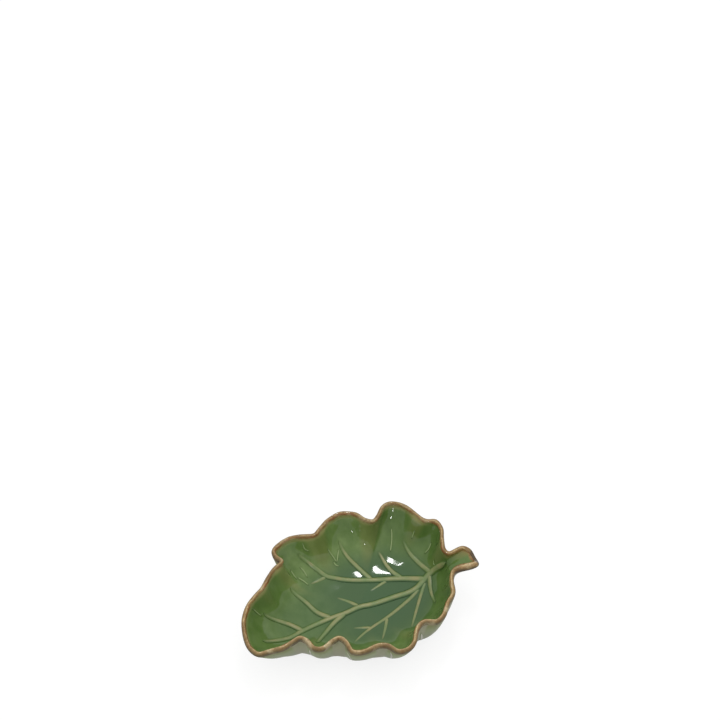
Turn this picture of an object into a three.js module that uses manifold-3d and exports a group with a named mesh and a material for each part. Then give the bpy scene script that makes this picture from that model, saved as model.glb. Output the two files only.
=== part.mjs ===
// A leaf-shaped glazed stoneware bowl, in millimetres, standing on z = 0 with +Z up.
// The leaf lies along X, with its tip at -X and its stalk at +X. The wall follows a lobed edge at the
// top and a smooth egg-shaped oval at the bottom, and raised veins run over the floor and up the wall.
import * as THREE from "three";
import { mergeVertices } from "three/addons/utils/BufferGeometryUtils.js";
import Module from "manifold-3d";

const wasm = await Module();
wasm.setup();

// Sizes of the blade, the stalk and the whole bowl
const BLADE_LENGTH = 157.5; // along X, from the tip to the far shoulder
const BLADE_WIDTH = 122; // along Y, over the widest lobes
const BOWL_HEIGHT = 36; // from the table to the crest of the lip
const STALK_LENGTH = 16.2; // from the stalk's mouth to its end
const STALK_WIDTH = 15.3; // between the middles of its two lips

// Sizes of the clay
const WALL = 3.2; // thickness at the top of the wall
const FLOOR = 5; // thickness of the floor over the foot
const LIP_HEIGHT = 3.6; // height of the brown rounded lip
const BASE_LENGTH = 100; // flat underside, along X
const BASE_WIDTH = 56; // flat underside, along Y
const BELLY_LENGTH = 132; // oval that the wall rises to, along X
const BELLY_WIDTH = 92; // oval that the wall rises to, along Y
const OVAL_OFFSET = 2; // the ovals' middle, along X
const OVAL_TAPER = 0.25; // share by which the ovals narrow at the tip and widen at the stalk

// Sizes of the foot and the veins
const FOOT_LENGTH = 86;
const FOOT_WIDTH = 45;
const FOOT_BAND = 5; // width of the ring that meets the table
const FOOT_HEIGHT = 3;
const VEIN_WIDTH = 3; // main veins, where they start
const VEIN_HEIGHT = 1.3;
const BRANCH_WIDTH = 2.2; // side branches, where they start
const BRANCH_HEIGHT = 1;
const BRANCH_RAISE = 0.1; // a branch's underside over the main line's, so that they join cleanly
const VEIN_TAPER = 0.45; // share of the width and height that is left at a vein's end
const JOINT_GAP = 0.4; // clearance between pieces that meet on a curved face

// Steps along the lip, along the veins and round the foot
const LIP_STEP = 3.4;
const VEIN_STEP = 3;
const FOOT_STEPS = 56;

// The blade's lip seen from above, anticlockwise from the far side of the stalk's mouth: the far
// lobes, the tip and the near lobes. Each lobe has its crest, two shoulders and a notch beside it.
const BLADE_EDGE = [
  [70, 0.5],
  [67.5, 5],
  [70, 14],
  [73, 22],
  [72, 29],
  [65, 34],
  [60.5, 42],
  [56, 51.5],
  [47.5, 57],
  [41, 55.5],
  [36, 50],
  [30.5, 46.5],
  [25.5, 49.5],
  [20.5, 57],
  [11.5, 61],
  [2.5, 59.5],
  [-5, 55],
  [-13, 49.8],
  [-21, 52],
  [-29, 53.3],
  [-38, 51.2],
  [-44.5, 46],
  [-44, 41],
  [-41.5, 36.5],
  [-49, 31.7],
  [-55, 26.5],
  [-62, 19],
  [-73, 11.3],
  [-80, 2],
  [-84, -11.5],
  [-84.2, -22],
  [-80.5, -29],
  [-73, -29.6],
  [-64, -30.2],
  [-56, -28.2],
  [-50, -27.2],
  [-46.8, -31],
  [-44.5, -38],
  [-39, -40],
  [-32, -37.4],
  [-25.5, -36.3],
  [-23.1, -40.5],
  [-21.5, -49.5],
  [-13.5, -52.2],
  [-3, -51.3],
  [2.5, -54],
  [6.5, -59.8],
  [13, -61],
  [19, -57.5],
  [25.5, -48],
  [31.5, -44.8],
  [40, -47.5],
  [47, -43.7],
  [52, -37],
  [59.3, -30],
  [62.3, -20],
  [66.5, -13.8],
];

// The stalk's lip from the near side of its mouth round its end to the far side, drawn from the middle
// of the mouth.
const STALK_EDGE = [
  [4.2, -6.6],
  [11, -7.8],
  [15.4, -7.4],
  [16.2, -1.2],
  [15.5, 4.2],
  [12.6, 7.5],
];

// The veins seen from above, drawn on the same leaf as its edge. Each starts with its main line, from
// the stalk outwards, and its side branches follow. An earlier vein cuts off the start of a later one.
const VEINS = {
  midrib: [
    [[65, 1.5], [60.5, 4], [55.5, 3.8], [50, 1], [43, -2], [27, -2.5], [10.5, -2.5], [2, -1.5],
      [-9.5, -2.8], [-20, -3.2], [-42, -6.5], [-52.3, -9.8], [-62, -11], [-72.5, -12]],
    [[2, -1.5], [-3, 4.5], [-11, 12]],
    [[-20, -3.2], [-27, 4], [-32.7, 15.3], [-40, 25.5]],
    [[-9.5, -2.8], [-20, -8], [-29, -14.4], [-37.5, -21.3]],
    [[-42, -6.5], [-50.2, 1.8], [-65, 9]],
  ],
  far_main_vein: [
    [[53, 2.7], [38.5, 9.8], [17, 16.8], [0.5, 23], [-6.3, 26.6], [-11.3, 29.5], [-16.3, 35.6],
      [-22, 42], [-26.8, 46.3]],
    [[-11.3, 29.5], [-18.3, 28], [-25.3, 27]],
    [[18, 16.5], [12.2, 29.3], [7, 41.8], [5.3, 49.7]],
    [[38.5, 9.8], [33.3, 19.6], [30.5, 36]],
    [[29, 13], [20.5, 10.3], [13, 8.5]],
  ],
  near_main_vein: [
    [[51, 1.6], [41.5, -5.5], [31.5, -10.5], [16.5, -16.6], [3.4, -20.8], [-5.2, -24.5], [-14, -29.8]],
    [[16.5, -16.6], [11.8, -24.9], [5.6, -34.5]],
    [[3.4, -20.8], [-3, -18.3], [-9.6, -16.2]],
  ],
  far_base_vein: [[[58, 4.1], [53.7, 16.3], [50.3, 26.8], [49, 35.3]]],
  near_mid_vein: [[[54, 3.2], [43, -11.3], [27.7, -33]]],
  near_base_vein: [[[56.7, 3.9], [52.6, -9.2], [50.8, -21]]],
};

// The wall's outer and inner faces from the bottom up: the share of the height that is risen, the
// share of the way from the base oval to the belly oval, and the share of the lobes that shows.
const OUTER_WALL = [
  [0.05, 0.3, 0.05],
  [0.11, 0.56, 0.18],
  [0.23, 0.78, 0.4],
  [0.46, 0.9, 0.67],
  [0.74, 0.965, 0.87],
];
const INNER_WALL = [
  [0.012, -0.7, 0],
  [0.035, -0.1, 0.02],
  [0.08, 0.25, 0.1],
  [0.16, 0.54, 0.26],
  [0.31, 0.76, 0.5],
  [0.54, 0.895, 0.74],
  [0.79, 0.965, 0.91],
];

// The lip's section: the share of half the wall's thickness to the side, and of the lip's height up.
const LIP_SECTION = [
  [1.06, 0.5],
  [0.7, 0.86],
  [0, 1],
  [-0.7, 0.86],
  [-1.06, 0.5],
];

// A vein's section: the share of half its width to the side, and of its height up.
const RIDGE_SECTION = [
  [-1, 0],
  [0, 0],
  [1, 0],
  [0.62, 0.72],
  [0, 1],
  [-0.62, 0.72],
];

const BASE_Z = FOOT_HEIGHT;
const FLOOR_Z = FOOT_HEIGHT + FLOOR;
const LIP_Z = BOWL_HEIGHT - LIP_HEIGHT;

const CLAY = new THREE.MeshStandardMaterial({ color: 0xb9a58a, roughness: 0.85, metalness: 0 });
const GREEN_GLAZE = new THREE.MeshStandardMaterial({ color: 0x586b3c, roughness: 0.2, metalness: 0 });
const BROWN_GLAZE = new THREE.MeshStandardMaterial({ color: 0x7a5a38, roughness: 0.25, metalness: 0 });
const PALE_GLAZE = new THREE.MeshStandardMaterial({ color: 0x808558, roughness: 0.2, metalness: 0 });

// A closed surface put together from rings of points.
class Skin {
  constructor() {
    this.positions = [];
    this.triangles = [];
  }

  // Adds points and gives their numbers.
  points(list) {
    const first = this.positions.length / 3;
    for (const p of list) {
      this.positions.push(p.x, p.y, p.z);
    }
    return list.map((_, i) => first + i);
  }

  distance(i, j) {
    const [p, q] = [i, j].map((k) => new THREE.Vector3().fromArray(this.positions, 3 * k));
    return p.distanceTo(q);
  }

  // Fills between two rows of as many points, with the outside to the right of the first row.
  // Each four points are parted along the shorter way across.
  strip(a, b) {
    for (let i = 0; i + 1 < a.length; i += 1) {
      const four = [a[i], a[i + 1], b[i + 1], b[i]];
      const turn = this.distance(four[0], four[2]) <= this.distance(four[1], four[3]) ? 0 : 1;
      const [p, q, r, s] = four.map((_, k) => four[(k + turn) % four.length]);
      this.triangles.push(p, q, r, p, r, s);
    }
  }

  // Fills between two rings.
  ring(a, b) {
    this.strip([...a, a[0]], [...b, b[0]]);
  }

  // Fills a ring towards one middle point.
  fan(ring, middle) {
    ring.forEach((p, i) => this.triangles.push(p, ring[(i + 1) % ring.length], middle));
  }

  // Closes a small ring from its first point.
  cap([first, ...rest]) {
    rest.forEach((point, i) => i > 0 && this.triangles.push(first, rest[i - 1], point));
  }

  geometry() {
    const geometry = new THREE.BufferGeometry();
    geometry.setAttribute("position", new THREE.Float32BufferAttribute(this.positions, 3));
    geometry.setIndex(this.triangles);
    geometry.computeVertexNormals();
    return geometry;
  }
}

// The stretch that gives the box round drawn points a length and a width.
function stretch(drawn, length, width) {
  const box = new THREE.Box2().setFromPoints(drawn.map(([x, y]) => new THREE.Vector2(x, y)));
  const size = box.getSize(new THREE.Vector2());
  return new THREE.Vector3(length / size.x, width / size.y, 1);
}

// The lip's middle line: points along the blade, then along the stalk, and the line across the mouth.
function lipLine() {
  const scale = stretch(BLADE_EDGE, BLADE_LENGTH, BLADE_WIDTH);
  const stalkScale = stretch([[0, 0], ...STALK_EDGE], STALK_LENGTH, STALK_WIDTH);
  const blade = BLADE_EDGE.map(([x, y]) => new THREE.Vector3(x, y, 0).multiply(scale));
  const far = blade[0];
  const near = blade[blade.length - 1];
  const mouth = far.clone().lerp(near, 0.5);
  const stalk = STALK_EDGE.map(([x, y]) => new THREE.Vector3(x, y, 0).multiply(stalkScale).add(mouth));
  const corners = [...blade, ...stalk];
  const curve = new THREE.CatmullRomCurve3(corners, true, "centripetal");
  const points = [];
  let bladeCount = 0;
  corners.forEach((corner, i) => {
    if (i === blade.length - 1) {
      bladeCount = points.length;
    }
    const next = corners[(i + 1) % corners.length];
    const steps = Math.max(1, Math.round(corner.distanceTo(next) / LIP_STEP));
    for (let k = 0; k < steps; k += 1) {
      points.push(curve.getPoint((i + k / steps) / corners.length));
    }
  });
  const across = points.map((point, i) => {
    const share = (i - bladeCount) / (points.length - bladeCount);
    return share > 0 ? near.clone().lerp(far, share) : point.clone();
  });
  return { points, across, bladeCount, scale };
}

// The point of an egg-shaped oval in the direction of another point.
function ovalPoint(length, width, towards) {
  const angle = Math.atan2((towards.y / width) * length, towards.x - OVAL_OFFSET);
  const egg = 1 + OVAL_TAPER * Math.cos(angle);
  return new THREE.Vector3(
    OVAL_OFFSET + (length / 2) * Math.cos(angle),
    (width / 2) * Math.sin(angle) * egg,
    0,
  );
}

// A ring moved sideways in plan, outwards where the distance is above zero, and set at a height.
function movedRing(ring, distance, z) {
  return ring.map((point, i) => {
    const before = ring[(i + ring.length - 1) % ring.length];
    const after = ring[(i + 1) % ring.length];
    const along = after.clone().sub(before).normalize();
    return new THREE.Vector3(point.x + along.y * distance, point.y - along.x * distance, z);
  });
}

const lip = lipLine();
const base = lip.across.map((point) => ovalPoint(BASE_LENGTH, BASE_WIDTH, point));
const belly = lip.across.map((point) => ovalPoint(BELLY_LENGTH, BELLY_WIDTH, point));

// A ring of the wall's middle, between the base oval, the belly oval and the lobed edge.
function wallRing(flare, lobes) {
  return lip.across.map((edge, i) => {
    const point = base[i].clone().lerp(belly[i], flare);
    return point.addScaledVector(edge.clone().sub(belly[i]), lobes);
  });
}

function wallFace(levels, bottom, distance) {
  return levels.map(([rise, flare, lobes]) =>
    movedRing(wallRing(flare, lobes), distance, bottom + rise * (BOWL_HEIGHT - bottom)),
  );
}

const outerWall = wallFace(OUTER_WALL, BASE_Z, WALL / 2);
const innerWall = wallFace(INNER_WALL, FLOOR_Z, -WALL / 2);
const outerTop = movedRing(lip.points, WALL / 2, LIP_Z);
const innerTop = movedRing(lip.points, -WALL / 2, LIP_Z);

// The blade's part and the stalk's part of a ring of numbers or points.
const bladePart = (ring) => ring.slice(0, lip.bladeCount + 1);
const stalkPart = (ring) => [...ring.slice(lip.bladeCount), ring[0]];

// The bowl: floor and wall of the blade, open at the stalk's mouth.
function leafShell() {
  const skin = new Skin();
  const middle = new THREE.Vector3(OVAL_OFFSET, 0, 0);
  const outer = outerWall.map((ring) => skin.points(ring));
  const inner = innerWall.map((ring) => skin.points(ring));
  const under = skin.points(base.map((point) => point.clone().setZ(BASE_Z)));
  const [underMiddle, floorMiddle] = skin.points([
    middle.clone().setZ(BASE_Z),
    middle.clone().setZ(FLOOR_Z),
  ]);
  const topOut = bladePart(skin.points(outerTop));
  const topIn = bladePart(skin.points(innerTop));
  const mouthOut = outer[outer.length - 1];
  const mouthIn = inner[inner.length - 1];

  skin.fan([...under].reverse(), underMiddle);
  [under, ...outer].forEach((ring, i, all) => i > 0 && skin.ring(all[i - 1], ring));
  skin.strip(bladePart(mouthOut), topOut);
  skin.ring([...topOut, ...stalkPart(mouthOut)], [...topIn, ...stalkPart(mouthIn)]);
  skin.strip(topIn, bladePart(mouthIn));
  inner.forEach((ring, i, all) => i > 0 && skin.ring(ring, all[i - 1]));
  skin.fan(inner[0], floorMiddle);
  return skin.geometry();
}

// The stalk: a short gutter that runs down into the bowl at its mouth. It stands clear of the bowl's
// wall along X, and at the two corners of the mouth also towards the mouth's middle.
function stalk() {
  const skin = new Skin();
  const clear = (row) =>
    row.map((point, i) => {
      const inwards = i === 0 ? JOINT_GAP : i === row.length - 1 ? -JOINT_GAP : 0;
      return new THREE.Vector3(point.x + JOINT_GAP, point.y + inwards, point.z);
    });
  const ends = (row) => [clear(row)[0], ...row.slice(1, -1), clear(row)[row.length - 1]];
  const mouthOut = skin.points(clear(stalkPart(outerWall[outerWall.length - 1])));
  const mouthIn = skin.points(clear(stalkPart(innerWall[innerWall.length - 1])));
  const topOut = skin.points(ends(stalkPart(outerTop)));
  const topIn = skin.points(ends(stalkPart(innerTop)));

  skin.strip(mouthOut, topOut);
  skin.strip(topIn, mouthIn);
  skin.ring([...topOut, ...mouthOut.reverse()], [...topIn, ...mouthIn.reverse()]);
  return skin.geometry();
}

// The lip: the brown rounded edge that runs round the blade and the stalk.
function rimLip() {
  const skin = new Skin();
  const rounded = LIP_SECTION.map(([side, up]) =>
    movedRing(lip.points, (side * WALL) / 2, LIP_Z + up * LIP_HEIGHT),
  );
  const rings = [outerTop, ...rounded, innerTop].map((ring) => skin.points(ring));
  rings.forEach((ring, i) => skin.ring(ring, rings[(i + 1) % rings.length]));
  return skin.geometry();
}

// The foot: a low egg-shaped ring under the flat of the base.
function footRing() {
  const outline = (inset) =>
    Array.from({ length: FOOT_STEPS }, (_, i) => {
      const angle = (i / FOOT_STEPS) * 2 * Math.PI;
      const towards = new THREE.Vector3(
        OVAL_OFFSET + FOOT_LENGTH * Math.cos(angle),
        FOOT_WIDTH * Math.sin(angle),
        0,
      );
      return ovalPoint(FOOT_LENGTH - 2 * inset, FOOT_WIDTH - 2 * inset, towards);
    });
  const shape = new THREE.Shape(outline(0));
  shape.holes.push(new THREE.Path(outline(FOOT_BAND)));
  return new THREE.ExtrudeGeometry(shape, { depth: FOOT_HEIGHT, bevelEnabled: false });
}

// A solid for joining and cutting, and back.
function toSolid(geometry) {
  const bare = new THREE.BufferGeometry();
  bare.setAttribute("position", geometry.getAttribute("position"));
  bare.setIndex(geometry.index);
  const merged = mergeVertices(bare);
  const vertProperties = merged.getAttribute("position").array;
  const triVerts = new Uint32Array(merged.index.array);
  return new wasm.Manifold(new wasm.Mesh({ numProp: 3, vertProperties, triVerts }));
}

function toGeometry(solid) {
  const { vertProperties, triVerts } = solid.getMesh();
  const geometry = new THREE.BufferGeometry();
  geometry.setAttribute("position", new THREE.BufferAttribute(vertProperties, 3));
  geometry.setIndex(new THREE.BufferAttribute(triVerts, 1));
  geometry.computeVertexNormals();
  return geometry;
}

// The place and the direction of the bowl's inner face under a point seen from above.
function innerFace(shell, x, y) {
  const above = new THREE.Vector3(x, y, 2 * BOWL_HEIGHT);
  const [hit] = new THREE.Raycaster(above, new THREE.Vector3(0, 0, -1)).intersectObject(shell);
  return { point: hit.point, normal: hit.face.normal };
}

// One line of a vein: a low ridge on the bowl's inner face, lifted off it, that thins to its end.
function ridge(shell, line, width, height, lift) {
  const corners = line.map(([x, y]) => new THREE.Vector3(x, y, 0).multiply(lip.scale));
  const curve = new THREE.CatmullRomCurve3(corners, false, "centripetal");
  const steps = Math.max(2, Math.round(curve.getLength() / VEIN_STEP));
  const skin = new Skin();
  const sections = Array.from({ length: steps + 1 }, (_, i) => {
    const middle = curve.getPointAt(i / steps);
    const along = curve.getTangentAt(i / steps);
    const size = THREE.MathUtils.lerp(1, VEIN_TAPER, i / steps);
    const spot = (side, up) => {
      const reach = (side * size * width) / 2;
      const { point, normal } = innerFace(shell, middle.x + along.y * reach, middle.y - along.x * reach);
      return point.addScaledVector(normal, lift + up * size * height);
    };
    return skin.points(RIDGE_SECTION.map(([side, up]) => spot(side, up)));
  });
  sections.forEach((section, i, all) => i > 0 && skin.ring(section, all[i - 1]));
  skin.cap(sections[0]);
  skin.cap(sections[steps].reverse());
  return toSolid(skin.geometry());
}

// A vein with its branches, wider by a clearance where it only cuts the start of later veins.
function vein(shell, lines, clearance) {
  const [main, ...branches] = lines;
  const lift = JOINT_GAP - clearance;
  const grow = 2 * clearance;
  return branches.reduce(
    (solid, line) =>
      solid.add(ridge(shell, line, BRANCH_WIDTH + grow, BRANCH_HEIGHT + grow, lift + BRANCH_RAISE)),
    ridge(shell, main, VEIN_WIDTH + grow, VEIN_HEIGHT + grow, lift),
  );
}

function piece(name, geometry, material) {
  const mesh = new THREE.Mesh(geometry, material);
  mesh.name = name;
  return mesh;
}

const bowl = new THREE.Group();
const body = new THREE.Group();
const shell = piece("leaf_shell", leafShell(), GREEN_GLAZE);
body.add(shell);
body.add(piece("stalk", stalk(), GREEN_GLAZE));
body.add(piece("rim_lip", rimLip(), BROWN_GLAZE));
body.add(piece("foot_ring", footRing(), CLAY));
bowl.add(body);

const veins = new THREE.Group();
let cut = null;
for (const [name, lines] of Object.entries(VEINS)) {
  const solid = vein(shell, lines, 0);
  veins.add(piece(name, toGeometry(cut ? solid.subtract(cut) : solid), PALE_GLAZE));
  const room = vein(shell, lines, JOINT_GAP);
  cut = cut ? cut.add(room) : room;
}
bowl.add(veins);

export default bowl;
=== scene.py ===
# %% [markdown]
# # A leaf-shaped bowl in glazed stoneware
# The real bowl is a slab of clay pressed over a leaf-shaped mould, dipped in green glaze and fired.
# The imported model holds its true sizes, so it is loaded first, as a fixed frame. The script then
# makes the fired, glazed surface over that frame, piece by piece.

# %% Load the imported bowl
import math

import bmesh
import bpy
from mathutils import Matrix, Vector, noise
from mathutils.bvhtree import BVHTree


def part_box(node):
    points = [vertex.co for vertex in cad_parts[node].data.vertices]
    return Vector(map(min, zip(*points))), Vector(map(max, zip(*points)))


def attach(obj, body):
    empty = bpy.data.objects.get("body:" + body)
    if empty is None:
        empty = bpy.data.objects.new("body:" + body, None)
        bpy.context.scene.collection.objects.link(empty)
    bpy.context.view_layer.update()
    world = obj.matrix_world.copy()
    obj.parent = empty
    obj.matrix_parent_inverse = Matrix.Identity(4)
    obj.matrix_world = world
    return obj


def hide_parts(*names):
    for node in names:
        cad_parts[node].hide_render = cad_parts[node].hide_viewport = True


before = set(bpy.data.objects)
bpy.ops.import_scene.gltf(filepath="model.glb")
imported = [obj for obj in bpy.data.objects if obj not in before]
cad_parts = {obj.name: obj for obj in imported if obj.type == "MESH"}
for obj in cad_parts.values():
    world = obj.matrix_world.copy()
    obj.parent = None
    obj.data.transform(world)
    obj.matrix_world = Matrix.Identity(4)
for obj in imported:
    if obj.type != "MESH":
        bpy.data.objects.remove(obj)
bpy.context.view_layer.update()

MM = 0.001

# %% [markdown]
# ## The camera
# The photograph looks down on the bowl at about half a right angle, a little from the tip's side,
# and the bowl sits low in a square frame. A long lens keeps the lobes from bulging. The camera is
# aimed at the middle of the frame, so that the lens needs no shift.

# %% Camera
LENS = 74.48
CAMERA_PLACE = (-0.2118, -0.5592, 0.8781)
LOOKS_DOWN = 46.12
TURNED = -20.98

camera = bpy.data.objects.new("camera", bpy.data.cameras.new("camera"))
camera.data.sensor_width = 36
camera.data.lens = LENS
camera.location = CAMERA_PLACE
camera.rotation_euler = (math.radians(90 - LOOKS_DOWN), 0, math.radians(TURNED))
bpy.context.scene.collection.objects.link(camera)
bpy.context.scene.camera = camera
print("camera lens:", camera.data.lens, "mm")

# %% [markdown]
# ## One way to add a node
# Every material below is a small tree of nodes. One function adds a node, sets its own settings and
# fills its sockets, either with a value or with another node's output. Another turns the colours,
# which are written as a screen shows them, into the linear numbers that the renderer works with.

# %% Helpers for nodes and colours
def add(tree, kind, sockets={}, **settings):
    node = tree.nodes.new(kind)
    for name, value in settings.items():
        setattr(node, name, value)
    for socket, value in sockets.items():
        if isinstance(value, bpy.types.NodeSocket):
            tree.links.new(value, node.inputs[socket])
        else:
            node.inputs[socket].default_value = value
    return node


def colour(code):
    shares = [int(code[i : i + 2], 16) / 255 for i in (1, 3, 5)]
    return [*(s / 12.92 if s <= 0.04045 else ((s + 0.055) / 1.055) ** 2.4 for s in shares), 1]


def new_material(name):
    material = bpy.data.materials.new(name)
    material.use_nodes = True
    return material, material.node_tree, material.node_tree.nodes["Principled BSDF"]


print("white is", colour("#ffffff"))

# %% [markdown]
# ## The studio
# The photograph has a plain white ground. Its paint here is matt white and keeps the bowl's shadow. The
# little glow that makes it pure white is seen only by the camera and in reflections, so it adds no light
# to the bowl.

# %% White paint
GLOW = 0.8


def reckon(tree, operation, *values):
    return add(tree, "ShaderNodeMath", dict(enumerate(values)), operation=operation).outputs[0]


paint, tree, surface = new_material("white_sweep_paint")
rays = add(tree, "ShaderNodeLightPath").outputs
seen = reckon(tree, "MAXIMUM", rays["Is Camera Ray"], rays["Is Glossy Ray"])
seen = reckon(tree, "MAXIMUM", seen, rays["Is Transmission Ray"])
tree.links.new(reckon(tree, "MULTIPLY", seen, GLOW), surface.inputs["Emission Strength"])
surface.inputs["Emission Color"].default_value = colour("#ffffff")
surface.inputs["Base Color"].default_value = colour("#8c8c8c")
surface.inputs["Roughness"].default_value = 1
surface.inputs["Specular IOR Level"].default_value = 0
print(paint.name, len(tree.nodes), "nodes")

# %% [markdown]
# The ground itself is a round sweep, as photographers use: a flat floor whose edge curves up into a low
# wall, so that no corner shows. One short line, spun once round the upright axis, makes all of it. It lies
# a hair under the bowl's foot, so that the two never share a plane.

# %% Floor and sweep
SWEEP_RADIUS = 3.0
SWEEP_BEND = 0.5
SWEEP_HEIGHT = 1.2
BEND_STEPS = 8
UNDER_FOOT = 0.2 * MM


def new_piece(name, shape, material=None):
    mesh = bpy.data.meshes.new(name)
    shape.to_mesh(mesh)
    shape.free()
    mesh.shade_smooth()
    piece = bpy.data.objects.new(name, mesh)
    bpy.context.scene.collection.objects.link(piece)
    if material:
        mesh.materials.append(material)
    return piece


floor_end = SWEEP_RADIUS - SWEEP_BEND
corner = [(0, 0), (floor_end, 0)]
for step in range(1, BEND_STEPS + 1):
    turn = math.radians(90 * step / BEND_STEPS)
    corner.append((floor_end + SWEEP_BEND * math.sin(turn), SWEEP_BEND * (1 - math.cos(turn))))
corner.append((SWEEP_RADIUS, SWEEP_HEIGHT))

profile = bmesh.new()
line = [profile.verts.new((x, 0, z - UNDER_FOOT)) for x, z in corner]
edges = [profile.edges.new(pair) for pair in zip(line, line[1:])]
bmesh.ops.spin(profile, geom=line + edges, cent=(0, 0, 0), axis=(0, 0, 1), angle=2 * math.pi,
               steps=64, use_merge=True)
bmesh.ops.remove_doubles(profile, verts=profile.verts, dist=1e-5)
bmesh.ops.recalc_face_normals(profile, faces=profile.faces)
sweep = new_piece("sweep", profile, paint)
print("sweep faces:", len(sweep.data.polygons))

# %% [markdown]
# ## The light
# A plain studio. The sky is bright overhead and dim at the horizon, so that a steep wall of glaze reflects
# little of it. Two narrow softboxes overhead give the glaze its white streak, and a small one on the
# camera's side gives the spots near the lip. Together they light white paint to about white, so that the
# glaze colours come out much as they are written.

# %% Sky
HORIZON_LIGHT = 0.35
OVERHEAD_LIGHT = 1.1
HIGH_UP = 0.8


def between(tree, value, low, high, bottom=0, top=1, soft=False):
    sockets = {"Value": value, "From Min": low, "From Max": high, "To Min": bottom, "To Max": top}
    kind = "SMOOTHSTEP" if soft else "LINEAR"
    return add(tree, "ShaderNodeMapRange", sockets, interpolation_type=kind).outputs[0]


world = bpy.data.worlds.new("studio_sky")
world.use_nodes = True
sky = world.node_tree
sky.nodes["Background"].inputs["Color"].default_value = (1, 1, 1, 1)
towards = add(sky, "ShaderNodeTexCoord").outputs["Generated"]
upwards = add(sky, "ShaderNodeSeparateXYZ", {"Vector": towards}).outputs["Z"]
bright = between(sky, upwards, 0, HIGH_UP, bottom=HORIZON_LIGHT, top=OVERHEAD_LIGHT)
sky.links.new(bright, sky.nodes["Background"].inputs["Strength"])
bpy.context.scene.world = world
bpy.context.scene.view_settings.view_transform = "Standard"
print("sky:", HORIZON_LIGHT, "to", OVERHEAD_LIGHT)

# %% [markdown]
# A softbox is an area lamp. Each one stands at its place and faces the bowl, and its long side runs as near
# as it can along a given direction.

# %% Softboxes
def softbox(name, place, along, wide, high, watts):
    lamp = bpy.data.lights.new(name, "AREA")
    lamp.shape = "RECTANGLE"
    lamp.size, lamp.size_y, lamp.energy = wide, high, watts
    box = bpy.data.objects.new(name, lamp)
    back = Vector(place).normalized()
    side = (Vector(along) - back * back.dot(Vector(along))).normalized()
    box.matrix_world = Matrix((side, back.cross(side), back)).transposed().to_4x4()
    box.location = place
    bpy.context.scene.collection.objects.link(box)


softbox("long_strip", (0.197, 0.37, 0.97), along=(0, 1, 0), wide=0.12, high=0.024, watts=0.5)
softbox("slanted_strip", (0.04, 0.23, 0.97), along=(1, 1, 0), wide=0.1, high=0.012, watts=0.24)
softbox("front_softbox", (-0.52, -0.94, 0.46), along=(0, 0, 1), wide=0.08, high=0.05, watts=0.6)
print("lamps:", [lamp.name for lamp in bpy.data.lights])

# %% [markdown]
# ## The fired body
# On the real bowl the floor, the wall, the stalk and the lip are one unbroken skin of glaze. The packed
# solids are faceted, but their points lie on level rings, one above the other, with as many points on
# each. So the rings are taken from a copy of the solids, bridged to one cage of four-sided faces from
# the floor up over the lip and down to the base, and a Subdivision Surface rounds the cage. Bridging
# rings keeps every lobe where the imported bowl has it.

# %% Level rings
TOUCH = 2e-6


def is_level(edge):
    return abs(edge.verts[0].co.z - edge.verts[1].co.z) < TOUCH


def level_rings(name, top=math.inf):
    copy = bmesh.new()
    copy.from_mesh(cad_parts[name].data)
    bmesh.ops.remove_doubles(copy, verts=copy.verts, dist=TOUCH)
    bmesh.ops.delete(copy, geom=[v for v in copy.verts if v.co.z > top - TOUCH], context="VERTS")
    flat = [f for f in copy.faces if all(is_level(e) for e in f.edges)]
    bmesh.ops.delete(copy, geom=flat, context="FACES")
    copy.normal_update()
    leaning = {v: v.normal.x * v.co.x + v.normal.y * v.co.y for v in copy.verts}
    bmesh.ops.delete(copy, geom=list(copy.faces), context="FACES_ONLY")
    bmesh.ops.delete(copy, geom=[e for e in copy.edges if not is_level(e)], context="EDGES")
    rings = []
    for first in copy.verts:
        ring, vert = [], None if first.tag else first
        while vert:
            vert.tag = True
            ring.append(vert)
            beside = [e.other_vert(vert) for e in vert.link_edges]
            vert = next((v for v in beside if not v.tag), None)
        if ring:
            rings.append((sum(leaning[v] for v in ring) > 0, [v.co.copy() for v in ring]))
    copy.free()
    return rings


lip_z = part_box("rim_lip")[0].z
crest_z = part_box("rim_lip")[1].z
rings = level_rings("leaf_shell", top=lip_z) + level_rings("rim_lip")
rings.sort(key=lambda ring: 2 * crest_z - ring[1][0].z if ring[0] else ring[1][0].z)
print("rings from the floor over the lip to the base:",
      [(round(points[0].z / MM, 2), len(points)) for outer, points in rings])

# %% [markdown]
# Three numbers go along with each point of the cage, for the glaze to read later: whether it lies inside
# the bowl, how far across the lip it lies, and how much the wall folds inwards there, because glaze runs
# thin over a fold. A fold is measured against the points a few steps to each side. Rounding a cage pulls
# each bend inwards by a third of its sag, so the points are moved out by as much first, and the rounded
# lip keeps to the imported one.

# %% Rings of the cage
FOLD_REACH = 4
PULLED_IN = 1 / 3

body = bmesh.new()
inside = body.verts.layers.float.new("inside")
across = body.verts.layers.float.new("across_lip")
fold = body.verts.layers.float.new("fold")

lip_rings = [i for i, (outer, points) in enumerate(rings) if points[0].z > lip_z - TOUCH]
crest = max(lip_rings, key=lambda i: rings[i][1][0].z)
loops = []
for number, (outer, points) in enumerate(rings):
    if sum(p.x * q.y - p.y * q.x for p, q in zip(points, points[1:] + points[:1])) < 0:
        points.reverse()
    verts = []
    for i, point in enumerate(points):
        sag = (points[i - 1] + points[(i + 1) % len(points)]) / 2 - point
        vert = body.verts.new(point - sag * PULLED_IN)
        verts.append(vert)
        before, after = points[i - FOLD_REACH], points[(i + FOLD_REACH) % len(points)]
        along = (after - before).normalized()
        sag = (before + after) / 2 - point
        vert[fold] = (sag.x * along.y - sag.y * along.x) / MM
        vert[inside] = min(max((crest - number) / 2 + 0.5, 0), 1)
        vert[across] = min(max((number - lip_rings[0]) / (len(lip_rings) - 1), 0), 1)
    loops.append([body.edges.new(pair) for pair in zip(verts, verts[1:] + verts[:1])])
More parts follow.
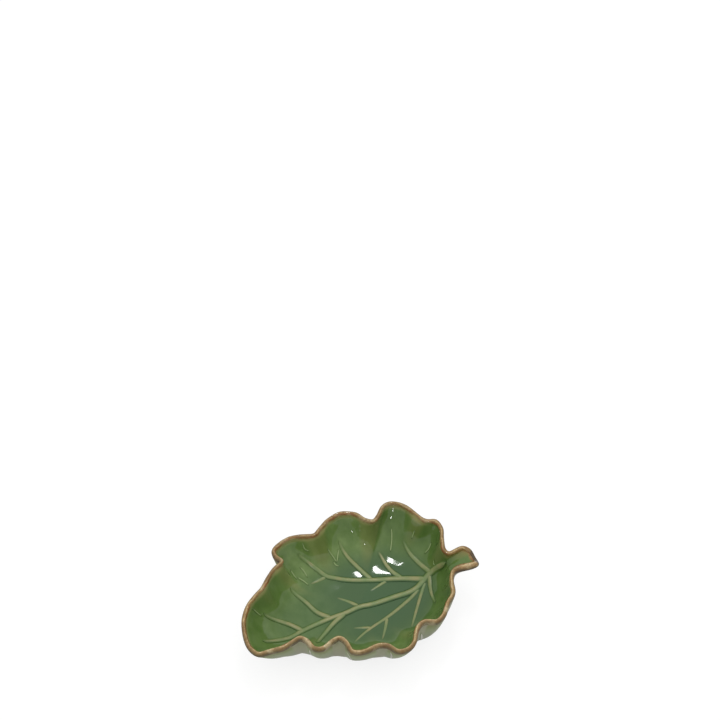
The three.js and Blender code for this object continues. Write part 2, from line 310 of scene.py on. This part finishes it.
print("rings of the cage:", len(loops))

# %% [markdown]
# The rings are bridged one to the next. A face between two rings of the lip is marked, because the lip has
# a glaze of its own.

# %% Bridged cage
on_lip = body.faces.layers.int.new("on_lip")
for number, (below, above) in enumerate(zip(loops, loops[1:])):
    for face in bmesh.ops.bridge_loops(body, edges=below + above)["faces"]:
        face[on_lip] = number in lip_rings and number + 1 in lip_rings
print("cage faces:", len(body.faces))

# %% [markdown]
# A lip smoothed by hand is never quite even, so its points are moved about a little by a noise. Blender
# starts this noise from the clock unless it is given a seed, so a fixed seed makes every run the same.

# %% Uneven lip
UNEVEN = 0.35 * MM
WAVE = 7 * MM
LIP_SEED = 1

noise.seed_set(LIP_SEED)
for vert in body.verts:
    if 0 < vert[across] < 1:
        vert.co += UNEVEN * noise.noise_vector(vert.co / WAVE)
print("lip points:", sum(0 < v[across] < 1 for v in body.verts))

# %% [markdown]
# At the end of the stalk the lip is pressed low, so that the groove runs out, and along the stalk's near
# side it is rolled thicker. The far side of the stalk is brushed brown below the lip too. Each of these
# fades in over a stretch of the stalk, which is given as where it starts and where it is full, in
# millimetres along the length, the depth or the height.

# %% Stalk end
END_LENGTH, END_NEAR, END_FAR = (79, 82), (-13.5, -11.5), (-4, -1.5)
ROLL_LENGTH, ROLL_DEPTH = (67, 71), (-10.5, -8)
FAR_LENGTH, FAR_DEPTH = (68, 73), (-6, -3)
BRUSH_LENGTH, BRUSH_NEAR, BRUSH_FAR, BRUSH_HEIGHT = (65, 68), (-5, -3), (2, 5), (31.5, 34)
END_INSET = 1.2 * MM
END_PRESSED = 0.8
END_BARE = 0.45
ROLL_IN, ROLL_OUT, ROLL_UP = 2.8 * MM, 1 * MM, 0.8 * MM
FAR_SHIFT = 1.3 * MM


def rise(value, low, high):
    share = min(max((value / MM - low) / (high - low), 0), 1)
    return share * share * (3 - 2 * share)


brushed = body.verts.layers.float.new("brushed")
for vert in body.verts:
    x, y, z = vert.co
    inner = max(0, 1 - 2 * vert[across])
    outer = max(0, 2 * vert[across] - 1)
    low_end = rise(x, *END_LENGTH) * rise(y, *END_NEAR) * (1 - rise(y, *END_FAR))
    near_roll = rise(x, *ROLL_LENGTH) * (1 - rise(y, *ROLL_DEPTH)) * (z >= lip_z - TOUCH)
    far_side = rise(x, *FAR_LENGTH) * rise(y, *FAR_DEPTH)
    brush_side = rise(y, *BRUSH_NEAR) * (1 - rise(y, *BRUSH_FAR))
    vert[brushed] = rise(x, *BRUSH_LENGTH) * brush_side * rise(z, *BRUSH_HEIGHT)
    vert.co.x += END_INSET * low_end * inner
    vert.co.y += near_roll * (ROLL_IN * inner - ROLL_OUT * outer) + FAR_SHIFT * far_side
    vert.co.z += ROLL_UP * near_roll * (1 - inner) - END_PRESSED * low_end * max(0, z - lip_z)
    vert[across] += END_BARE * low_end * (z > lip_z + TOUCH)
print("points on the stalk's end:", sum(rise(v.co.x, *END_LENGTH) > 0 for v in body.verts))

# %% [markdown]
# The cage is still open at the floor and under the base. Each open ring is extruded inwards a few times
# towards the middle, so that the faces stay small, and the last small ring is filled. Operators may number
# new points differently from run to run, so points and faces are sorted by their place afterwards.

# %% Floor and base
OVAL_MIDDLE = 2 * MM
FLOOR_Z = 8 * MM
BASE_Z = 3 * MM
FLOOR_SHARES = (0.8, 0.76, 0.68, 0.5, 0.3)
BASE_SHARES = (0.9, 0.7, 0.4, 0.2)
SORTING = Vector((1, 7.3, 53.1))


def close_inwards(edges, middle, shares):
    for share in shares:
        made = bmesh.ops.extrude_edge_only(body, edges=edges)["geom"]
        verts = [g for g in made if isinstance(g, bmesh.types.BMVert)]
        bmesh.ops.scale(body, vec=(share, share, share**2), verts=verts, space=Matrix.Translation(-middle))
        edges = [g for g in made if isinstance(g, bmesh.types.BMEdge) and g.is_boundary]
    fill = bmesh.ops.edgeloop_fill(body, edges=edges)["faces"]
    bmesh.ops.poke(body, faces=fill)


close_inwards(loops[0], Vector((OVAL_MIDDLE, 0, FLOOR_Z)), FLOOR_SHARES)
close_inwards(loops[-1], Vector((OVAL_MIDDLE, 0, BASE_Z)), BASE_SHARES)
bmesh.ops.recalc_face_normals(body, faces=body.faces)
body.verts.sort(key=lambda vert: vert.co.dot(SORTING))
body.faces.sort(key=lambda face: face.calc_center_median().dot(SORTING))
print("closed:", all(edge.is_manifold for edge in body.edges))

# %% [markdown]
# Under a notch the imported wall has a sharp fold. Slip and glaze round it off on a real bowl, so the wall's
# points on the folds, and all low ones, are smoothed a few times, sideways only. Outside, the folds are
# half filled towards the base.

# %% Softened wall
SOFTENINGS = 10
SOFTENING = 0.5
FOLDED = 0.1
LOW_WALL = 22 * MM
FILLING = 0.5
FILLED_BELOW = (14, 26)
CLEAR = 0.2 * MM

wall = [v for v in body.verts if v[inside] == 1 and v[across] == 0 and v.co.z > FLOOR_Z + CLEAR]
wall = [v for v in wall if v[fold] > FOLDED or v.co.z < LOW_WALL]
for _ in range(SOFTENINGS):
    bmesh.ops.smooth_vert(body, verts=wall, factor=SOFTENING,
                          use_axis_x=True, use_axis_y=True, use_axis_z=False)
base = [v for v in body.verts if v[inside] == 0 and v[fold] > 0 and v.co.z > BASE_Z + CLEAR]
for vert in base:
    outwards = Vector((vert.co.x - OVAL_MIDDLE, vert.co.y, 0)).normalized()
    vert.co += outwards * FILLING * vert[fold] * MM * (1 - rise(vert.co.z, *FILLED_BELOW))
print("softened points:", len(wall), "inside,", len(base), "outside")

# %% [markdown]
# A Subdivision Surface now rounds the cage. The rounded mesh is kept as data and the cage is dropped,
# because the leaf and the lip are cut from it, and the veins are laid on it.

# %% Rounded skin
cage = new_piece("cage", body)
rounding = cage.modifiers.new("rounding", "SUBSURF")
rounding.levels = rounding.render_levels = 2
fired = bpy.data.meshes.new_from_object(cage.evaluated_get(bpy.context.evaluated_depsgraph_get()))
bpy.data.objects.remove(cage)
print("fired skin:", len(fired.polygons), "faces")

# %% [markdown]
# The lip has its own brown glaze, so the skin is parted where the lip starts. Each part is closed across
# the thickness of the wall, where nobody sees it, and both keep the normals of the whole skin, so that no
# line shows between them.

# %% Leaf and lip
def part_of_skin(name, lip):
    part = bmesh.new()
    part.from_mesh(fired)
    spot = part.verts.layers.int.new("spot")
    for vert in part.verts:
        vert[spot] = vert.index
    on_lip = part.faces.layers.int["on_lip"]
    away = [f for f in part.faces if bool(f[on_lip]) != lip]
    bmesh.ops.delete(part, geom=away, context="FACES")
    rim = [e for e in part.edges if e.is_boundary]
    bmesh.ops.bridge_loops(part, edges=rim)
    bmesh.ops.recalc_face_normals(part, faces=part.faces)
    closed = all(e.is_manifold for e in part.edges)
    piece = new_piece(name, part)
    spots = piece.data.attributes["spot"]
    normals = [fired.vertices[item.value].normal for item in spots.data]
    piece.data.normals_split_custom_set_from_vertices(normals)
    piece.data.attributes.remove(spots)
    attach(piece, "root")
    print(name, len(piece.data.polygons), "faces, closed:", closed)
    return piece


leaf = part_of_skin("glazed_leaf", False)
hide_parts("leaf_shell", "stalk")
lip = part_of_skin("brown_lip", True)
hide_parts("rim_lip")

# %% [markdown]
# ## The veins
# The veins of the real bowl are pressed into the mould, so they stand up from the clay as soft ridges
# that the glaze rounds off. Each line is drawn as a Bezier curve seen from above, with the same points
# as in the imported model, in millimetres. A vein's first line is its stem, and the others are its branches.

# %% Vein lines
VEINS = {
    "midrib": [
        [(67.5, -0.5), (65, 1.5), (60.5, 4), (55.5, 3.8), (50, 1), (43, -2), (27, -2.5), (10.5, -2.5),
         (2, -1.5), (-9.5, -2.8), (-20, -3.2), (-42, -6.5), (-52.3, -9.8), (-62, -11), (-72.5, -12)],
        [(2, -1.5), (-3, 4.5), (-11, 12)],
        [(-20, -3.2), (-27, 4), (-32.7, 15.3), (-40, 25.5)],
        [(-9.5, -2.8), (-20, -8), (-29, -14.4), (-37.5, -21.3)],
        [(-42, -6.5), (-50.2, 1.8), (-65, 9)],
    ],
    "far_main_vein": [
        [(53, 2.7), (38.5, 9.8), (17, 16.8), (0.5, 23), (-6.3, 26.6), (-11.3, 29.5), (-16.3, 35.6),
         (-22, 42), (-26.8, 46.3)],
        [(-11.3, 29.5), (-18.3, 28), (-25.3, 27)],
        [(18, 16.5), (12.2, 29.3), (7, 41.8), (5.3, 49.7)],
        [(38.5, 9.8), (33.3, 19.6), (30.5, 36)],
        [(29, 13), (20.5, 10.3), (13, 8.5)],
    ],
    "near_main_vein": [
        [(51, 1.6), (41.5, -5.5), (31.5, -10.5), (16.5, -16.6), (3.4, -20.8), (-5.2, -24.5), (-14, -29.8)],
        [(16.5, -16.6), (11.8, -24.9), (5.6, -34.5)],
        [(3.4, -20.8), (-3, -18.3), (-9.6, -16.2)],
    ],
    "far_base_vein": [[(58, 4.1), (53.7, 16.3), (50.3, 26.8), (49, 35.3)]],
    "near_mid_vein": [[(54, 3.2), (43, -11.3), (27.7, -33)]],
    "near_base_vein": [[(56.7, 3.9), (52.6, -9.2), (50.8, -21)]],
}
print("vein lines:", sum(len(lines) for lines in VEINS.values()))

# %% [markdown]
# Blender's own curve object works out the smooth line between the points. The line is then walked in even
# steps, so that the ridge that is laid along it gets even faces.

# %% Drawn lines
CURVE_STEPS = 24
FEWEST_STEPS = 6
RIDGE_STEP = 1 * MM


def drawn_line(points):
    curve = bpy.data.curves.new("line", "CURVE")
    curve.dimensions = "3D"
    curve.resolution_u = CURVE_STEPS
    spline = curve.splines.new("BEZIER")
    spline.bezier_points.add(len(points) - 1)
    for knot, point in zip(spline.bezier_points, points):
        knot.co = Vector((*point, 0)[:3]) * MM
        knot.handle_left_type = knot.handle_right_type = "AUTO"
    pencil = bpy.data.objects.new("line", curve)
    bpy.context.scene.collection.objects.link(pencil)
    bpy.context.view_layer.update()
    fine = bpy.data.meshes.new_from_object(pencil.evaluated_get(bpy.context.evaluated_depsgraph_get()))
    path = [v.co.copy() for v in fine.vertices]
    bpy.data.objects.remove(pencil)
    lengths = [0]
    for p, q in zip(path, path[1:]):
        lengths.append(lengths[-1] + (q - p).length)
    count = max(FEWEST_STEPS, round(lengths[-1] / RIDGE_STEP))
    line, k = [], 0
    for i in range(count + 1):
        reach = lengths[-1] * i / count
        while k < len(path) - 2 and lengths[k + 1] < reach:
            k += 1
        line.append(path[k].lerp(path[k + 1], (reach - lengths[k]) / (lengths[k + 1] - lengths[k])))
    return line


print("midrib points:", len(drawn_line(VEINS["midrib"][0])))

# %% [markdown]
# A flat grid is laid along each line on the skin. Its middle is raised, its edges run out level, and its
# ends are rounded. Towards the tip it gets narrower and lower, and the glaze covers it more. Two numbers go
# along with each point for the glaze to read: whether it lies inside the bowl, and how high it is raised.

# %% Ridges on the skin
RIDGE_ROWS = 12
FROM_ABOVE = Vector((0, 0, 0.1))
DOWN = Vector((0, 0, -1))
EDGE_SINK = 0.05 * MM
TIP_BARE = 0.35
TIP_HEIGHT = 0.4
skin_tree = BVHTree.FromPolygons([v.co for v in fired.vertices], [p.vertices for p in fired.polygons])


def new_ridges():
    shape = bmesh.new()
    shape.verts.layers.float.new("inside")
    shape.verts.layers.float.new("raised")
    return shape


def lay_ridge(shape, points, width, height, taper, blunt, fade=0, outside=False):
    line = drawn_line(points)
    if outside:
        spots = [skin_tree.find_nearest(p)[:2] for p in line]
    else:
        spots = [skin_tree.ray_cast(p + FROM_ABOVE, DOWN)[:2] for p in line]
    last = len(spots) - 1
    made = bmesh.ops.create_grid(shape, x_segments=last, y_segments=RIDGE_ROWS, size=1)["verts"]
    inside = shape.verts.layers.float["inside"]
    raised = shape.verts.layers.float["raised"]
    for vert in made:
        along, side = (vert.co.x + 1) / 2, vert.co.y
        i = round(along * last)
        place, up = spots[i]
        ahead = spots[min(i + 1, last)][0] - spots[max(i - 1, 0)][0]
        sideways = up.cross(ahead).normalized()
        size = 1 + (taper - 1) * along
        to_end = min(1, min(along, 1 - along) * last * RIDGE_STEP / blunt)
        round_end = math.sqrt(1 - (1 - to_end) ** 2)
        found, normal, _, _ = skin_tree.find_nearest(place + sideways * side * size * round_end * width / 2)
        to_tip = min(1, (1 - along) * last * RIDGE_STEP / fade) if fade else 1
        vert[inside] = not outside
        vert[raised] = (1 - side**2) ** 2 * round_end * (TIP_BARE + (1 - TIP_BARE) * to_tip)
        lift = vert[raised] * (TIP_HEIGHT + (1 - TIP_HEIGHT) * to_tip) * size * height
        vert.co = found + normal * (lift - EDGE_SINK)


def finish_ridges(name, shape, sunk):
    bmesh.ops.recalc_face_normals(shape, faces=shape.faces)
    bmesh.ops.solidify(shape, geom=list(shape.faces), thickness=sunk)
    bmesh.ops.recalc_face_normals(shape, faces=shape.faces)
    closed = all(edge.is_manifold for edge in shape.edges)
    piece = new_piece(name, shape)
    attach(piece, "root")
    print(name, len(piece.data.polygons), "faces, closed:", closed)
    return piece


print("skin to lay them on:", len(fired.polygons), "faces")

# %% [markdown]
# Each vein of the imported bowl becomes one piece: its stem and its slightly thinner branches, with a little
# thickness that sinks into the clay, so that no gap shows under their edges.

# %% Veins
WIDTHS = {"midrib": 5.4 * MM, "far_main_vein": 5.2 * MM, "near_main_vein": 4.6 * MM,
          "far_base_vein": 4.6 * MM, "near_mid_vein": 4.2 * MM, "near_base_vein": 3.8 * MM}
BRANCH_SHARE = 0.84
VEIN_STEEPNESS = 0.16
VEIN_SUNK = 0.5 * MM


def vein(name, lines):
    shape = new_ridges()
    for number, points in enumerate(lines):
        width = WIDTHS[name] * (1 if number == 0 else BRANCH_SHARE)
        lay_ridge(shape, points, width, VEIN_STEEPNESS * width, taper=0.6, blunt=3 * MM, fade=12 * MM)
    piece = finish_ridges("glazed_" + name, shape, VEIN_SUNK)
    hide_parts(name)
    return piece


veins = [vein(name, lines) for name, lines in VEINS.items()]

# %% [markdown]
# Between the veins, short fine lines were scratched into the mould, like the smallest veins of a leaf. They
# are thin and low, so the glaze nearly covers them. Some of them, towards the stalk, also stand in for thin
# streaks of reflected light, so their pale colour is partly a painted highlight. Outside, a thin low crease
# runs down the flank of each near lobe, and its near-white colour is a painted highlight. Its points have a
# height too, and each is moved to the nearest spot of the skin.

# %% Fine lines
FINE_LINES = [
    [(-22, 49), (-21.5, 47), (-18.5, 45)], [(-5, 45), (-2.5, 41), (-1, 37)], [(3.5, 45), (1, 40.5), (-1, 37)],
    [(-3.5, 38), (-2, 35), (0, 34)], [(-28, 39.5), (-26, 36.5), (-25, 32)], [(-35.5, 38), (-33, 31.5)],
    [(-32, 33), (-28.5, 30), (-26, 26.5)], [(44.5, 46), (42.5, 40), (38.5, 32.5)], [(57.5, 34), (54.5, 32)],
    [(66, 22.5), (63.5, 20.5), (59.5, 19.5)], [(62.5, 9), (61.5, 7.5), (62, 4.5)],
    [(-72.5, 8.5), (-70, 8), (-67, 7)],
]
CREASES = [
    [(-46.6, -34.6, 28.5), (-45.3, -32, 19.5), (-44, -29.5, 11)],
    [(-24, -43.5, 29), (-23, -46, 25), (-21, -45.5, 17), (-19, -43, 10)],
    [(2.6, -56.3, 30), (3.7, -55.9, 24.5), (5, -52.5, 16)],
    [(28.6, -46.3, 25), (29.5, -44.8, 17.5), (30.5, -43.3, 11)],
]
FINE_SUNK = 0.4 * MM

shape = new_ridges()
for points in FINE_LINES:
    lay_ridge(shape, points, width=1.3 * MM, height=0.2 * MM, taper=0.7, blunt=3 * MM)
for points in CREASES:
    lay_ridge(shape, points, width=2.2 * MM, height=0.1 * MM, taper=1.3, blunt=5 * MM, outside=True)
scratch = shape.verts.layers.float.new("scratch")
for vert in shape.verts:
    vert[scratch] = 1
veins.append(finish_ridges("fine_lines", shape, FINE_SUNK))
print("fine lines:", len(FINE_LINES), "creases:", len(CREASES))

# %% [markdown]
# ## The foot
# A bowl like this stands on a low ring of bare clay, wiped clean of glaze so that it doesn't stick in
# the kiln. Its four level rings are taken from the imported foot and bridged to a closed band, whose top is
# raised a little into the base. The two edges that meet the table are bevelled, as a wet sponge leaves them.

# %% Foot ring
FOOT_SUNK = 0.4 * MM
FOOT_MIDDLE = 1 * MM
FOOT_WORN = 0.9 * MM


def round_the_section(ring):
    outer, points = ring
    return outer, -points[0].z if outer else points[0].z


foot = bmesh.new()
foot_loops = []
for outer, points in sorted(level_rings("foot_ring"), key=round_the_section):
    sunk = Vector((0, 0, FOOT_SUNK if points[0].z > FOOT_MIDDLE else 0))
    verts = [foot.verts.new(point + sunk) for point in points]
    foot_loops.append([foot.edges.new(pair) for pair in zip(verts, verts[1:] + verts[:1])])
for one, other in zip(foot_loops, foot_loops[1:] + foot_loops[:1]):
    bmesh.ops.bridge_loops(foot, edges=one + other)
worn = foot_loops[0] + foot_loops[-1]
bmesh.ops.bevel(foot, geom=worn, offset=FOOT_WORN, offset_type="OFFSET", segments=4, profile=0.5,
                affect="EDGES", material=-1)
bmesh.ops.recalc_face_normals(foot, faces=foot.faces)
foot_piece = new_piece("bare_foot", foot)
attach(foot_piece, "root")
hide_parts("foot_ring")
print("foot faces:", len(foot_piece.data.polygons))

# %% [markdown]
# ## The green glaze
# The glaze is a glassy copper green over pale stoneware. Inside it lies thick and bluish in the flat of
# the floor, and thinner and more olive over the bulges of the wall and just under the lip. Its colour is
# mixed in steps, each with a share that is read from the place on the bowl or from a number that the cage
# carries. Heights and lengths are given in millimetres, as is the size of the cloudy runs.

# %% Inner glaze
def blend(tree, share, under, over):
    return add(tree, "ShaderNodeMix", {0: share, 6: under, 7: over}, data_type="RGBA").outputs[2]


def cloudy(tree, place, size, detail):
    sockets = {"Vector": place, "Scale": 1 / size, "Detail": detail}
    return add(tree, "ShaderNodeTexNoise", sockets).outputs["Fac"]


def carried(tree, name):
    return add(tree, "ShaderNodeAttribute", attribute_name=name).outputs["Fac"]


def places(tree):
    place = add(tree, "ShaderNodeTexCoord").outputs["Object"]
    parts = add(tree, "ShaderNodeSeparateXYZ", {"Vector": place}).outputs
    return place, parts["X"], parts["Y"], parts["Z"]


def inner_glaze(tree):
    place, length, _, height = places(tree)
    upright = add(tree, "ShaderNodeVectorMath", {0: place, 1: (1, 1, 0.2)}, operation="MULTIPLY").outputs[0]
    runs = between(tree, cloudy(tree, upright, 9 * MM, 3), 0.35, 0.65)
    wall = blend(tree, runs, colour("#5e7a3b"), colour("#748d50"))
    to_stalk = between(tree, length, 15 * MM, 60 * MM, soft=True)
    to_tip = between(tree, length, -30 * MM, -62 * MM, top=0.35)
    dark = reckon(tree, "MULTIPLY_ADD", to_stalk, 0.6, to_tip)
    wall = blend(tree, dark, wall, colour("#4d6a2f"))
    deep = between(tree, length, -45 * MM, 5 * MM, bottom=0.5, soft=True)
    pool = reckon(tree, "MULTIPLY", between(tree, height, 16 * MM, 8 * MM, soft=True), deep)
    wall = blend(tree, pool, wall, colour("#42603a"))
    thin = between(tree, carried(tree, "fold"), -0.2, 2.4, top=0.3)
    wall = blend(tree, thin, wall, colour("#8e8a54"))
    edge = between(tree, height, 30.5 * MM, 34.2 * MM, top=0.8, soft=True)
    on_blade = between(tree, length, 69 * MM, 62 * MM, bottom=0.1)
    wall = blend(tree, reckon(tree, "MULTIPLY", edge, on_blade), wall, colour("#b0a872"))
    return blend(tree, carried(tree, "brushed"), wall, colour("#a57c48"))


print("inner glaze: from", FLOOR_Z / MM, "mm up to the lip")

# %% [markdown]
# Outside the glaze is thin and greyish. It is palest at the base, where it ran off, and that paleness is
# partly a painted reflection of the white floor. It is paler towards the stalk, which is painted light, and
# paler in the folds, which is partly thin glaze and partly a painted highlight. The same ground glaze, inner
# and outer, is used on the leaf, the lip and the veins, so that their colours meet without a line.

# %% Outer glaze
OUTER_STOPS = ((0.4, "#bac1a4"), (0.68, "#b0bb8e"), (0.84, "#949e64"))


def outer_glaze(tree):
    _, length, _, height = places(tree)
    # Paler towards the base: thin glaze, and partly a painted reflection of the white floor.
    ramp = add(tree, "ShaderNodeValToRGB", {"Fac": between(tree, height, 6 * MM, 34 * MM)})
    stops = ramp.color_ramp.elements
    stops[0].color, stops[1].color = colour("#ced2be"), colour("#948c56")
    for position, code in OUTER_STOPS:
        stops.new(position).color = colour(code)
    # Painted light: paler towards the stalk, as if more light fell there.
    to_stalk = between(tree, length, 15 * MM, 60 * MM, soft=True)
    pale = reckon(tree, "MULTIPLY", to_stalk, 0.6)
    wall = blend(tree, pale, ramp.outputs["Color"], colour("#a8a88c"))
    # Paler in the folds: partly thin glaze, partly a painted highlight.
    crease = between(tree, carried(tree, "fold"), 1.4, 3.2, top=0.6)
    return blend(tree, crease, wall, colour("#c0bca4"))


def ground_glaze(tree):
    return blend(tree, carried(tree, "inside"), outer_glaze(tree), inner_glaze(tree))


print("outer glaze stops:", len(OUTER_STOPS) + 2)

# %% [markdown]
# Being glass, the glaze has a smooth surface with an index of about 1.4, which gives clear reflections
# inside. Outside it is so thin that the clay leaves it satin. Very shallow waves keep the reflections from
# looking machined.

# %% Glossy leaf
GLASS_INDEX = 1.4
GLASSY = 0.05
SATIN = 0.55


def gloss(tree, surface, ground, wave=7 * MM, depth=0.015 * MM, glassy=GLASSY):
    place = add(tree, "ShaderNodeTexCoord").outputs["Object"]
    waves = cloudy(tree, place, wave, 1)
    bump = add(tree, "ShaderNodeBump", {"Height": waves, "Distance": depth}).outputs[0]
    rough = between(tree, carried(tree, "inside"), 0, 0.5, bottom=SATIN, top=glassy)
    tree.links.new(bump, surface.inputs["Normal"])
    tree.links.new(ground, surface.inputs["Base Color"])
    tree.links.new(rough, surface.inputs["Roughness"])
    surface.inputs["IOR"].default_value = GLASS_INDEX


glaze, tree, surface = new_material("green_copper_glaze")
gloss(tree, surface, ground_glaze(tree))
leaf.data.materials.append(glaze)
print(glaze.name, len(tree.nodes), "nodes")

# %% [markdown]
# ## The brown lip
# The lip was brushed with iron oxide, which the green glaze half covers. Across the lip it goes from olive
# over tan, with a pale line on the crest that is a painted highlight, to greyish brown outside. The bands
# wander a little, because the place across the lip is shifted by a noise, and the inner side is rusty in
# patches.

# %% Bands of the lip
LIP_START = (0.14, "#8b8650")
LIP_END = (0.96, "#6c6648")
# The pale stop on the crest, at 0.44, is a painted highlight.
LIP_STOPS = ((0.24, "#9a7c4c"), (0.38, "#a4824f"), (0.44, "#d8c492"), (0.5, "#ac9062"),
             (0.62, "#977a50"), (0.74, "#86734b"), (0.85, "#746846"))
LIP_WANDER = 0.5

lip_glaze, tree, surface = new_material("iron_brown_glaze")
place, _, depth, _ = places(tree)
shift = reckon(tree, "ADD", cloudy(tree, place, 6 * MM, 3), -0.5)
over = reckon(tree, "MULTIPLY_ADD", shift, LIP_WANDER, carried(tree, "across_lip"))
bands = add(tree, "ShaderNodeValToRGB", {"Fac": over})
stops = bands.color_ramp.elements
for stop, (position, code) in zip(stops, (LIP_START, LIP_END)):
    stop.position, stop.color = position, colour(code)
for position, code in LIP_STOPS:
    stops.new(position).color = colour(code)
patches = between(tree, cloudy(tree, place, 14 * MM, 2), 0.48, 0.62)
rust = reckon(tree, "MULTIPLY", patches, between(tree, over, 0.5, 0.3, top=0.75))
brown = blend(tree, rust, bands.outputs["Color"], colour("#a65c34"))
print("bands of the lip:", len(stops))

# %% [markdown]
# The brush left heavier and lighter strokes and a fine grain. On the far half the lip's outer edge gets a
# dark line of painted shade, and the whole far lip is painted a little darker as shade. Towards the inside
# the brown gives way to the green ground glaze.

# %% Brush strokes and painted shade
strokes = cloudy(tree, place, 10 * MM, 5)
brown = blend(tree, between(tree, strokes, 0.5, 0.64, top=0.6), brown, colour("#75552c"))
brown = blend(tree, between(tree, strokes, 0.47, 0.36, top=0.5), brown, colour("#d6c8a0"))
away = between(tree, depth, -34 * MM, -20 * MM)
# Painted shade: a dark line along the outer edge of the far lip.
painted_shade_outer_edge = reckon(tree, "MULTIPLY", between(tree, over, 0.71, 0.86, top=0.8), away)
brown = blend(tree, painted_shade_outer_edge, brown, colour("#4a3d2e"))
# Painted shade: the whole far lip a little darker.
brown = blend(tree, between(tree, depth, 10 * MM, 35 * MM, top=0.4), brown, colour("#80683f"))
grain = between(tree, cloudy(tree, place, 1.8 * MM, 2), 0.5, 0.7, top=0.5)
brown = blend(tree, grain, brown, colour("#6b4a28"))
cover = between(tree, over, 0.08, 0.24)
gloss(tree, surface, blend(tree, cover, ground_glaze(tree), brown), wave=5 * MM, depth=0.1 * MM)
lip.data.materials.append(lip_glaze)
print(lip_glaze.name, len(tree.nodes), "nodes")

# %% [markdown]
# ## The pale veins
# On a ridge the melting glaze runs off to both sides, so the pale clay shows through: the crest of each
# vein is olive to tan, and its feet are as green as the wall, or a little darker where the glaze pooled.
# Such thin glaze shines less. The fine lines are a paler green, partly a painted highlight, and the creases
# outside are near white, a painted highlight.

# %% Vein glaze
VEIN_GLOSS = 0.22

vein_glaze, tree, surface = new_material("thin_glaze_over_ridges")
place = places(tree)[0]
blots = between(tree, cloudy(tree, place, 9 * MM, 2), 0.35, 0.65)
pale = blend(tree, blots, colour("#7a8e5a"), colour("#9b9868"))
# The fine lines' paler green is partly a painted highlight.
pale = blend(tree, carried(tree, "scratch"), pale, colour("#8fa36c"))
# Outside, the creases get a near-white painted highlight.
pale = blend(tree, carried(tree, "inside"), colour("#f2eee2"), pale)
raised = carried(tree, "raised")
ridge_foot = between(tree, raised, 0.01, 0.2, top=0.2)
pooled = blend(tree, ridge_foot, ground_glaze(tree), colour("#3f5a28"))
bare = between(tree, raised, 0.2, 0.75, top=0.9, soft=True)
gloss(tree, surface, blend(tree, bare, pooled, pale), glassy=VEIN_GLOSS)
for piece in veins:
    piece.data.materials.append(vein_glaze)
print(vein_glaze.name, len(tree.nodes), "nodes")

# %% [markdown]
# ## The bare clay
# Stoneware fired without glaze is matt and buff, with dark iron specks and a fine sandy grain. The grain is
# a fine noise, which also roughens the surface, and the specks are the middles of small cells.

# %% Foot clay
GRAIN = 0.8 * MM
SPECKS_APART = 2.5 * MM
CLAY_ROUGHNESS = 0.85

clay, tree, surface = new_material("bare_stoneware_clay")
place = places(tree)[0]
grain = cloudy(tree, place, GRAIN, 4)
cells = add(tree, "ShaderNodeTexVoronoi", {"Vector": place, "Scale": 1 / SPECKS_APART}).outputs["Distance"]
buff = blend(tree, grain, colour("#a8947a"), colour("#c8b598"))
buff = blend(tree, between(tree, cells, 0.12, 0.2), colour("#5c4a3a"), buff)
bump = add(tree, "ShaderNodeBump", {"Height": grain, "Strength": 0.4, "Distance": 0.1 * MM}).outputs[0]
tree.links.new(buff, surface.inputs["Base Color"])
tree.links.new(bump, surface.inputs["Normal"])
surface.inputs["Roughness"].default_value = CLAY_ROUGHNESS
foot_piece.data.materials.append(clay)
print(clay.name, len(tree.nodes), "nodes")
